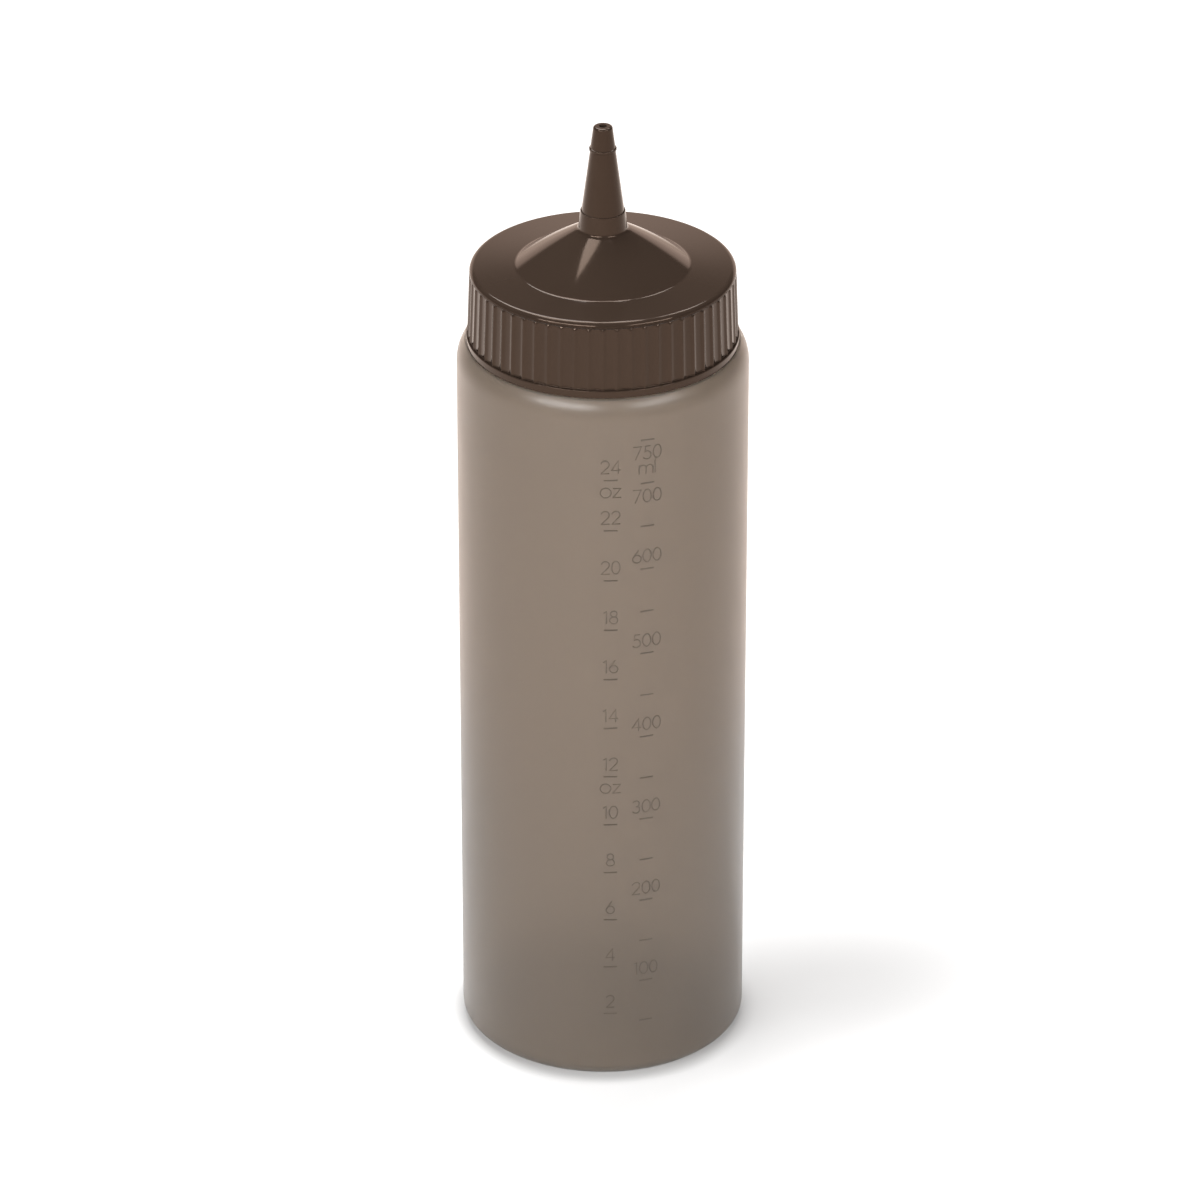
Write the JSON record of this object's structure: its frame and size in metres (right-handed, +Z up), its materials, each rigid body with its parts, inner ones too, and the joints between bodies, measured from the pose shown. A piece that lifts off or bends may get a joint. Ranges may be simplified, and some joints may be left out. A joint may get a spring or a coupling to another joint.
{
  "type": "squeeze bottle",
  "caption": "Tall straight squeeze bottle in frosted plastic with moulded graduations and a ribbed screw cap that rises in a cone to a tapered nozzle.",
  "frame": {"origin": "on the bottle's axis, level with the flat foot ring that it stands on", "axes": "+Z up along the bottle's axis to the nozzle, -Y towards the graduations, +X to the right as seen from the graduations"},
  "size_m": [0.074, 0.0741, 0.2551],
  "materials": {
    "frosted_wall": "frosted translucent",
    "cap_plastic": "glossy",
    "washer_foam": "soft matt"
  },
  "bodies": {
    "bottle": {"bottle": "frosted_wall"},
    "seal": {"seal_washer": "washer_foam"},
    "cap": {"cap": "cap_plastic"}
  },
  "joints": [
    {"name": "cap_rise", "type": "slide", "parent": "bottle", "child": "seal", "axis": [0, 0, 1], "range_m": [0, 0.0193]},
    {"name": "cap_turn", "type": "hinge", "parent": "seal", "child": "cap", "pos_m": [0, 0, 0.207], "axis": [0, 0, 1], "range_deg": [0, 1440]}
  ],
  "couplings": [
    {"joint": "cap_rise", "follows": "cap_turn", "m_per_rad": 0.00076394}
  ]
}
